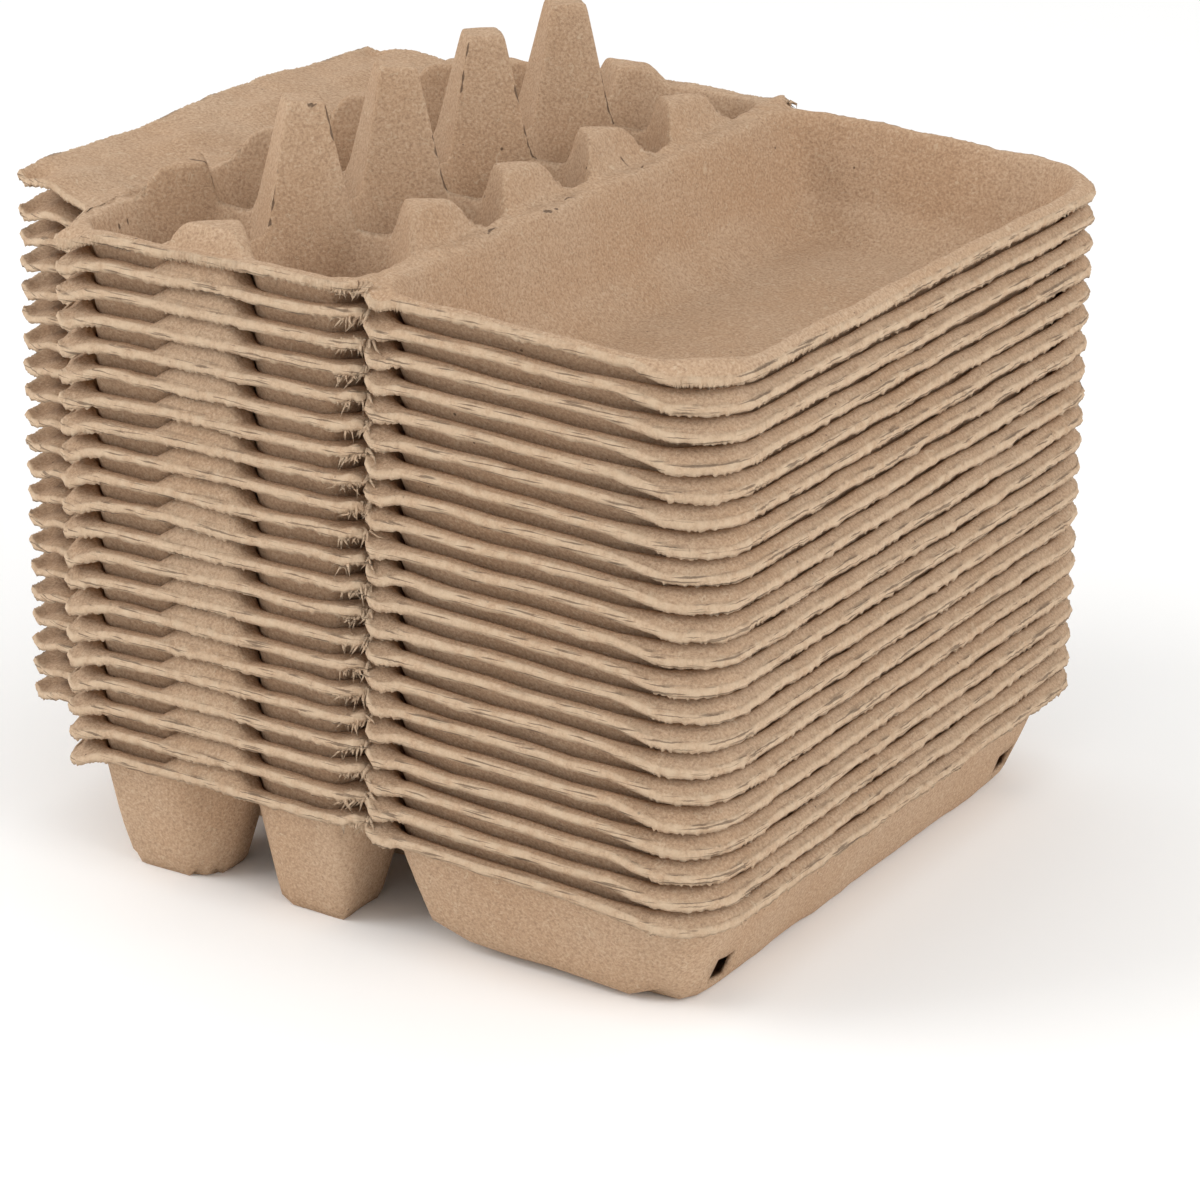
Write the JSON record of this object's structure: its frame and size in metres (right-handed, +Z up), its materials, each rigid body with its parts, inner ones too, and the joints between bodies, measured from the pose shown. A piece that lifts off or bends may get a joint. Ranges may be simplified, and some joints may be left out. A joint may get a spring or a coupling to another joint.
{
  "type": "stack of egg cartons",
  "caption": "Nested stack of open moulded-pulp egg cartons, each with rows of cups and cones, a lid laid open to one side and a locking flap on the other; the top one's lid and flap fold",
  "frame": {"origin": "centre of the footprint, on the surface that the lowest carton's cups stand on", "axes": "+Z is up through the stack, +X runs from the flap to the lid, Y runs along the rows of cups"},
  "size_m": [0.2521, 0.238, 0.2321],
  "materials": {
    "pulp": "rough uncoated moulded grey-tan pulp with fine specks and fibres"
  },
  "bodies": {
    "stack": {"carton_01": "pulp", "carton_02": "pulp", "carton_03": "pulp", "carton_04": "pulp", "carton_05": "pulp", "carton_06": "pulp", "carton_07": "pulp", "carton_08": "pulp", "carton_09": "pulp", "carton_10": "pulp", "carton_11": "pulp", "carton_12": "pulp", "carton_13": "pulp", "carton_14": "pulp", "carton_15": "pulp", "carton_16": "pulp", "carton_17": "pulp", "carton_18": "pulp", "carton_19": "pulp", "carton_20": "pulp", "top_tray": "pulp"},
    "lid": {"top_lid": "pulp"},
    "flap": {"top_flap": "pulp"}
  },
  "joints": [
    {"name": "lid_hinge", "type": "hinge", "parent": "stack", "child": "lid", "pos_m": [0.01409, 0, 0.19833], "axis": [0, -1, 0], "range_deg": [0, 181.6]},
    {"name": "flap_hinge", "type": "hinge", "parent": "stack", "child": "flap", "pos_m": [-0.09191, 0, 0.19833], "axis": [0, 1, 0], "range_deg": [0, 102]}
  ]
}
